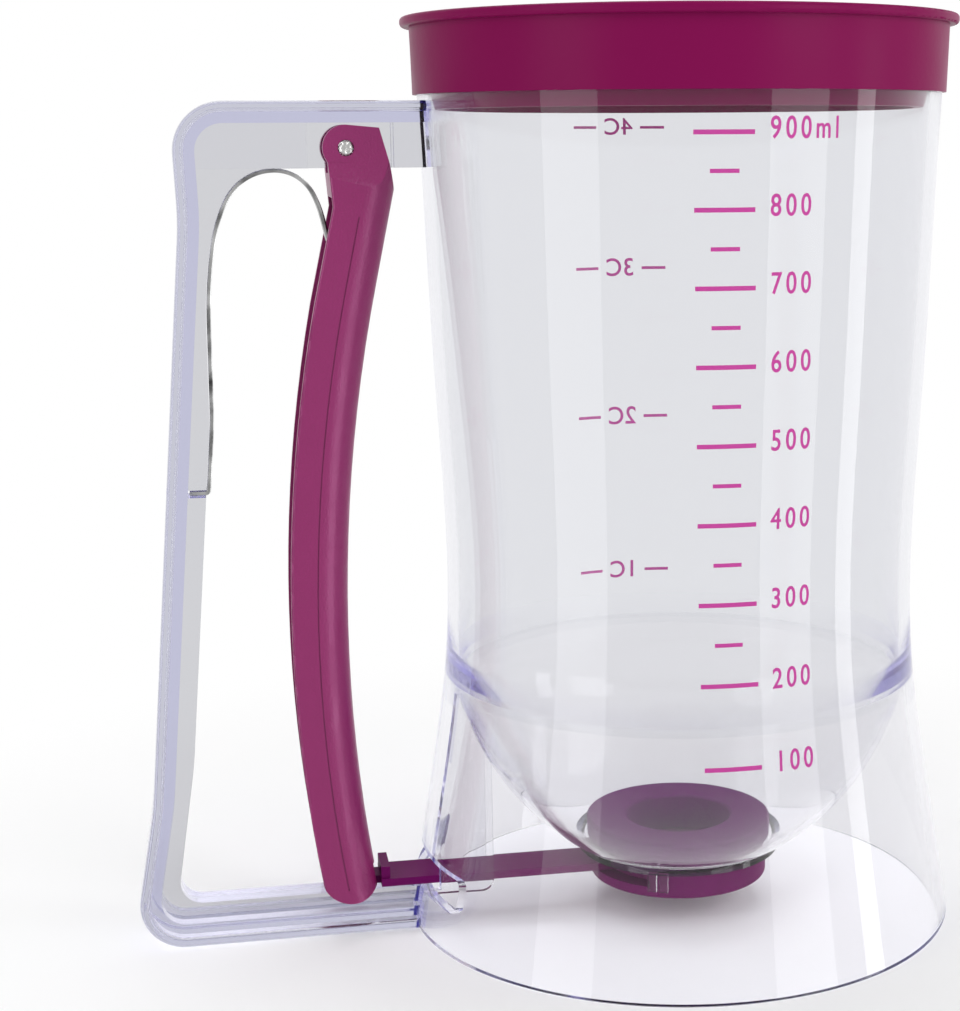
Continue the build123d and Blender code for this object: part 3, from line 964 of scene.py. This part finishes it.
def flat_words(words, place, size, spacing, narrow):
    """A bmesh of flat letters that start at a place, centred on its height and made narrower."""
    curve = bpy.data.curves.new("words", "FONT")
    curve.body = words
    curve.size = size
    curve.space_character = spacing
    curve.align_y = "CENTER"
    source = bpy.data.objects.new("words", curve)
    bpy.context.scene.collection.objects.link(source)
    graph = bpy.context.evaluated_depsgraph_get()
    flat = bpy.data.meshes.new_from_object(source.evaluated_get(graph))
    flat.transform(Matrix.Translation((*place, 0)) @ Matrix.Diagonal((narrow, 1, 1, 1)))
    bpy.data.objects.remove(source)
    letters = bmesh.new()
    letters.from_mesh(flat)
    bmesh.ops.remove_doubles(letters, verts=letters.verts, dist=MERGE)
    return letters


def add_words(shape, words, place, size, spacing, narrow):
    """Printed words: flat letters, grown outwards by the print's boldness and given its film."""
    letters = flat_words(words, place, size, spacing, narrow)
    edging = bmesh.ops.inset_region(
        letters, faces=letters.faces[:], thickness=-PRINT_BOLD, use_boundary=True, use_even_offset=True
    )
    bmesh.ops.delete(letters, geom=edging["faces"], context="FACES")
    drawn = bmesh.ops.extrude_face_region(letters, geom=letters.faces[:])["geom"]
    bmesh.ops.translate(letters, verts=points_of(drawn), vec=(0, 0, PRINT_FILM))
    add_shape(shape, letters)


print("film of ink in mm:", round(PRINT_FILM / MM, 2))

# %% Print the millilitre scale
MARK_SIZE = (11.0 * MM, 0.85 * MM)
HALF_MARK_SIZE = (5.3 * MM, 0.75 * MM)
MARK_SHIFT = -0.1 * MM
MARK_LEAN = 0.024
MARK_SPACING = (28.0, 16.17, 0.153)
NUMERAL_LEFT = 8.3 * MM
NUMERAL_RISE = 0.55 * MM
NUMERAL_STYLE = (5.55 * MM, 1.36, 0.79)
TOP_MARK = 900


def mark_height(amount, start, step, crowding):
    """Height of a mark. The jug widens upwards, so the marks crowd a little towards the top."""
    return (start + step * amount - crowding * amount**2) * MM


def print_millilitres():
    """A long mark and a number at each hundred, and a short mark between them."""
    shape = bmesh.new()
    for volume in (100, *range(200, TOP_MARK + 1, 50)):
        height = mark_height(volume / 100, *MARK_SPACING)
        centre = MARK_SHIFT - MARK_LEAN * height
        if volume % 100:
            add_bar(shape, centre, height, *HALF_MARK_SIZE)
            continue
        add_bar(shape, centre, height, *MARK_SIZE)
        words = f"{volume}ml" if volume == TOP_MARK else str(volume)
        add_words(shape, words, (centre + NUMERAL_LEFT, height + NUMERAL_RISE), *NUMERAL_STYLE)
    return finish_print("millilitre_scale", shape, -1)


millilitre_scale = print_millilitres()
print("millilitre scale faces:", len(millilitre_scale.data.polygons))

# %% Print the cup scale
CUP_SPACING = (24.0, 38.6, 1.0)
CUP_LEFT = -1.5 * MM
CUP_STYLE = (5.6 * MM, 1.05, 1.0)
CUP_BARS = (-6.0 * MM, 10.0 * MM)
CUP_BAR_SIZE = (5.6 * MM, 0.65 * MM)


def print_cups():
    """A number of cups between two bars, four times up the back."""
    shape = bmesh.new()
    for cups in (1, 2, 3, 4):
        height = mark_height(cups, *CUP_SPACING)
        add_words(shape, f"{cups}C", (CUP_LEFT, height), *CUP_STYLE)
        for centre in CUP_BARS:
            add_bar(shape, centre, height, *CUP_BAR_SIZE)
    return finish_print("cup_scale", shape, 1)


cup_scale = print_cups()
print("cup scale faces:", len(cup_scale.data.polygons))

# %% [markdown]
# ## The trigger's head
#
# The trigger's flanks swell out below its pivot. The solid has a plain step round the pin there, so
# a copy of it is cut once more on each side, with a block whose lower inner edge is well rounded.
# The flank then rises out of the thinner head in a soft cove.

# %% Cut the cove in the trigger
HEAD_HALF = 6.25 * MM
COVE_LENGTH = 40.0 * MM
COVE_WIDTH = 20.0 * MM
COVE_ROUND = 9.0 * MM
COVE_FORWARD = 2.0 * MM
COVE_DROP = 11.9 * MM
COVE_SLOPE = math.radians(-14)
pin_low, pin_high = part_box("pivot_pin")
pivot = (pin_low + pin_high) / 2


def cove_cutter(side):
    """A block beside the trigger's head, rounded along its lower inner edge."""
    shape = bmesh.new()
    size = Matrix.Diagonal((COVE_LENGTH, COVE_WIDTH, COVE_LENGTH, 1))
    bmesh.ops.create_cube(shape, size=1, matrix=size)
    inner = [e for e in shape.edges if all(v.co.z < 0 and v.co.y * side < 0 for v in e.verts)]
    round_edges(shape, inner, COVE_ROUND, 10)
    beside = (0, side * (HEAD_HALF + COVE_WIDTH / 2), COVE_LENGTH / 2)
    bmesh.ops.translate(shape, verts=shape.verts, vec=beside)
    bmesh.ops.rotate(shape, verts=shape.verts, matrix=Matrix.Rotation(-COVE_SLOPE, 3, "Y"))
    below = (pivot.x + COVE_FORWARD, 0, pivot.z - COVE_DROP)
    bmesh.ops.translate(shape, verts=shape.verts, vec=below)
    bmesh.ops.recalc_face_normals(shape, faces=shape.faces)
    return new_piece("cove_cutter", shape)


def make_trigger():
    """The trigger's solid with a cove under its head on both sides."""
    piece = new_piece("squeeze_trigger", merged_shape("trigger"))
    for side in (-1, 1):
        combine(piece, cove_cutter(side), "DIFFERENCE")
    shade_smooth(piece)
    dress(piece, trigger_plastic)
    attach(piece, "trigger")
    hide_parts("trigger")
    return piece


squeeze_trigger = make_trigger()
print("trigger faces:", len(squeeze_trigger.data.polygons))

# %% [markdown]
# ## Dress the solids that already have the right shape
#
# The lid, pin, gate, valve housing and seal keep their own meshes. They only need their finishes,
# which go into the material slots that the meshes already have.

# %% Assign the finishes
node_finishes = {
    "lid": lid_plastic,
    "pivot_pin": pin_steel,
    "gate_slide": valve_plastic,
    "valve_housing": valve_plastic,
    "outlet_seal": seal_rubber,
}
for node, material in node_finishes.items():
    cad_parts[node].data.materials[0] = material
print("dressed nodes:", len(node_finishes))

# %% [markdown]
# ## Floor and background
#
# The jug stands on a plain white floor in soft light. The floor fades into a white that shines by
# itself some way behind the jug, so that no horizon line shows. The world is white to the camera
# and to rays that mirror or pass through plastic, and softer to everything else, so the white
# background doesn't flood the purple pieces with light.

# %% Build the floor
FLOOR_RADIUS = 4.0
FADE_START = 0.07
FADE_END = 0.22


def make_floor():
    """A wide pale disc that keeps the shadow near the jug and is plain white far away."""
    shape = bmesh.new()
    bmesh.ops.create_circle(shape, cap_ends=True, segments=64, radius=FLOOR_RADIUS)
    floor = new_piece("studio_floor", shape)
    material, shader = new_finish("floor_white", (0.93, 0.93, 0.93), Roughness=0.7, Specular_IOR_Level=0.1)
    tree = material.node_tree
    place = tree.nodes.new("ShaderNodeTexCoord")
    reach = tree.nodes.new("ShaderNodeVectorMath")
    reach.operation = "LENGTH"
    fade = tree.nodes.new("ShaderNodeMapRange")
    fade.interpolation_type = "SMOOTHSTEP"
    fade.inputs["From Min"].default_value = FADE_START
    fade.inputs["From Max"].default_value = FADE_END
    glow = tree.nodes.new("ShaderNodeEmission")
    blend = tree.nodes.new("ShaderNodeMixShader")
    tree.links.new(place.outputs["Object"], reach.inputs[0])
    tree.links.new(reach.outputs["Value"], fade.inputs["Value"])
    tree.links.new(fade.outputs["Result"], blend.inputs["Fac"])
    tree.links.new(shader.outputs["BSDF"], blend.inputs[1])
    tree.links.new(glow.outputs["Emission"], blend.inputs[2])
    tree.links.new(blend.outputs["Shader"], tree.nodes["Material Output"].inputs["Surface"])
    floor.data.materials.append(material)
    floor.visible_glossy = False


make_floor()
print("floor fades to white between", FADE_START, "and", FADE_END, "m")

# %% Build the world
WHITE = (1.0, 1.0, 1.0, 1.0)
AMBIENT = 0.3


def make_world():
    """White for the camera, mirrors and clear plastic, and a softer ambient light for the rest."""
    world = bpy.data.worlds.new("studio")
    world.use_nodes = True
    bpy.context.scene.world = world
    tree = world.node_tree
    soft = tree.nodes["Background"]
    soft.inputs["Strength"].default_value = AMBIENT
    white = tree.nodes.new("ShaderNodeBackground")
    for background in (soft, white):
        background.inputs["Color"].default_value = WHITE
    rays = tree.nodes.new("ShaderNodeLightPath")
    seen = rays.outputs["Is Camera Ray"]
    for label in ("Is Glossy Ray", "Is Transmission Ray"):
        either = tree.nodes.new("ShaderNodeMath")
        either.operation = "MAXIMUM"
        tree.links.new(seen, either.inputs[0])
        tree.links.new(rays.outputs[label], either.inputs[1])
        seen = either.outputs[0]
    choice = tree.nodes.new("ShaderNodeMixShader")
    tree.links.new(seen, choice.inputs["Fac"])
    tree.links.new(soft.outputs["Background"], choice.inputs[1])
    tree.links.new(white.outputs["Background"], choice.inputs[2])
    tree.links.new(choice.outputs["Shader"], tree.nodes["World Output"].inputs["Surface"])


make_world()
print("ambient light:", AMBIENT)

# %% [markdown]
# ## Lamps
#
# The jug's upright walls mirror the lamps as upright bands, as in a studio with tall softboxes. So
# the three lamps round the jug are tall and reach below the floor, which mirrors don't see, and a
# fourth hangs above. The lamps light the pieces and show in reflections, but not to the camera or
# through clear plastic.

# %% Set up the softboxes
AIM_HEIGHT = 0.1
TALL = 1.6
# Name, turn in degrees, reach, height, width and length in metres, power in watts
SOFTBOXES = (
    ("left_softbox", -59.0, 0.8, 0.1, (0.36, TALL), 6.0),
    ("right_softbox", 38.0, 0.9, 0.1, (0.42, TALL), 8.0),
    ("side_softbox", 71.0, 0.9, 0.1, (0.16, TALL), 4.0),
    ("top_softbox", 180.0, 0.2, 1.1, (0.8, 0.8), 6.0),
)


def add_softbox(name, turn, reach, height, size, power):
    """A soft light at a turn in degrees from the jug's front, which faces the jug's axis."""
    lamp = bpy.data.lights.new(name, "AREA")
    lamp.shape = "RECTANGLE"
    lamp.size, lamp.size_y = size
    lamp.energy = power
    box = bpy.data.objects.new(name, lamp)
    angle = math.radians(turn)
    place = Vector((math.sin(angle) * reach, -math.cos(angle) * reach, height))
    aim = Vector((0, 0, min(height, AIM_HEIGHT))) - place
    box.matrix_world = Matrix.LocRotScale(place, aim.to_track_quat("-Z", "Y"), None)
    box.visible_camera = False
    box.visible_transmission = False
    bpy.context.scene.collection.objects.link(box)


for softbox in SOFTBOXES:
    add_softbox(*softbox)
bpy.context.scene.view_settings.view_transform = "Standard"
print("lamps:", len(bpy.data.lights))
